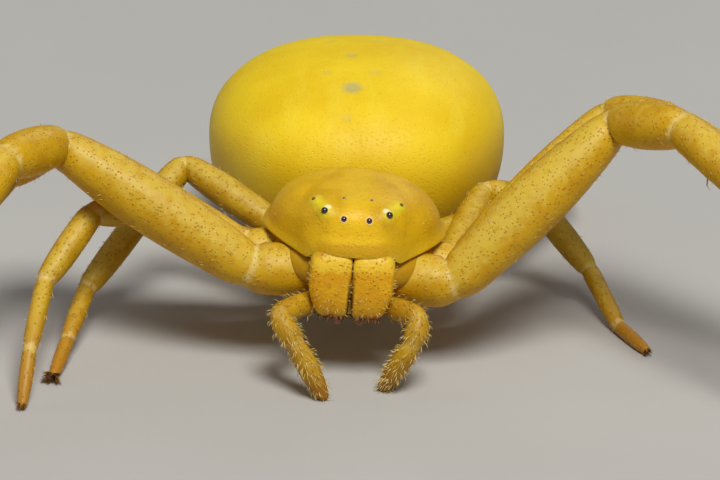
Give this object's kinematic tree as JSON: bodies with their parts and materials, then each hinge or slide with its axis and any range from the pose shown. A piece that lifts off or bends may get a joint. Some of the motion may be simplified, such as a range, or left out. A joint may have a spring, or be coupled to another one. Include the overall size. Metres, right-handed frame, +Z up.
{
  "type": "crab spider",
  "caption": "Life-size still crab spider: broad round abdomen, domed carapace with eyes, long curved front legs held out to the sides, short rear legs and feelers on the floor.",
  "frame": {"origin": "on the floor under the middle of the whole animal's box", "axes": "+Z up, the spider faces -Y, +X to the right when it is seen from the front, across the spread front legs"},
  "size_m": [0.0198, 0.0162, 0.0057],
  "materials": {
    "abdomen": "matte lemon yellow skin with fine pores and soft darker yellow shading",
    "carapace": "satin amber yellow, slightly translucent looking, paler round the eyes",
    "chelicera": "satin warm yellow with short hairs, darker at the lower ends",
    "leg": "satin yellow with pale bands at the joints and fine dark hair dots",
    "foot": "hairy orange yellow, brown towards the tip",
    "eye": "glossy near-black lens"
  },
  "bodies": {
    "root": {"carapace": "carapace", "eye_front_middle_left": "eye", "eye_front_side_left": "eye", "eye_rear_middle_left": "eye", "eye_rear_side_left": "eye", "eye_front_middle_right": "eye", "eye_front_side_right": "eye", "eye_rear_middle_right": "eye", "eye_rear_side_right": "eye", "sternum": "carapace", "abdomen": "abdomen", "pedicel": "carapace", "spinnerets": "carapace", "chelicera_left": "chelicera", "chelicera_right": "chelicera", "leg_left_1_coxa": "leg", "leg_left_1_femur": "leg", "leg_left_1_patella": "leg", "leg_left_1_tibia": "leg", "leg_left_1_foot": "foot", "leg_left_2_coxa": "leg", "leg_left_2_femur": "leg", "leg_left_2_patella": "leg", "leg_left_2_tibia": "leg", "leg_left_2_foot": "foot", "leg_left_3_coxa": "leg", "leg_left_3_femur": "leg", "leg_left_3_patella": "leg", "leg_left_3_tibia": "leg", "leg_left_3_foot": "foot", "leg_left_4_coxa": "leg", "leg_left_4_femur": "leg", "leg_left_4_patella": "leg", "leg_left_4_tibia": "leg", "leg_left_4_foot": "foot", "leg_right_1_coxa": "leg", "leg_right_1_femur": "leg", "leg_right_1_patella": "leg", "leg_right_1_tibia": "leg", "leg_right_1_foot": "foot", "leg_right_2_coxa": "leg", "leg_right_2_femur": "leg", "leg_right_2_patella": "leg", "leg_right_2_tibia": "leg", "leg_right_2_foot": "foot", "leg_right_3_coxa": "leg", "leg_right_3_femur": "leg", "leg_right_3_patella": "leg", "leg_right_3_tibia": "leg", "leg_right_3_foot": "foot", "leg_right_4_coxa": "leg", "leg_right_4_femur": "leg", "leg_right_4_patella": "leg", "leg_right_4_tibia": "leg", "leg_right_4_foot": "foot", "feeler_left_upper": "leg", "feeler_left_lower": "foot", "feeler_right_upper": "leg", "feeler_right_lower": "foot"}
  },
  "joints": []
}
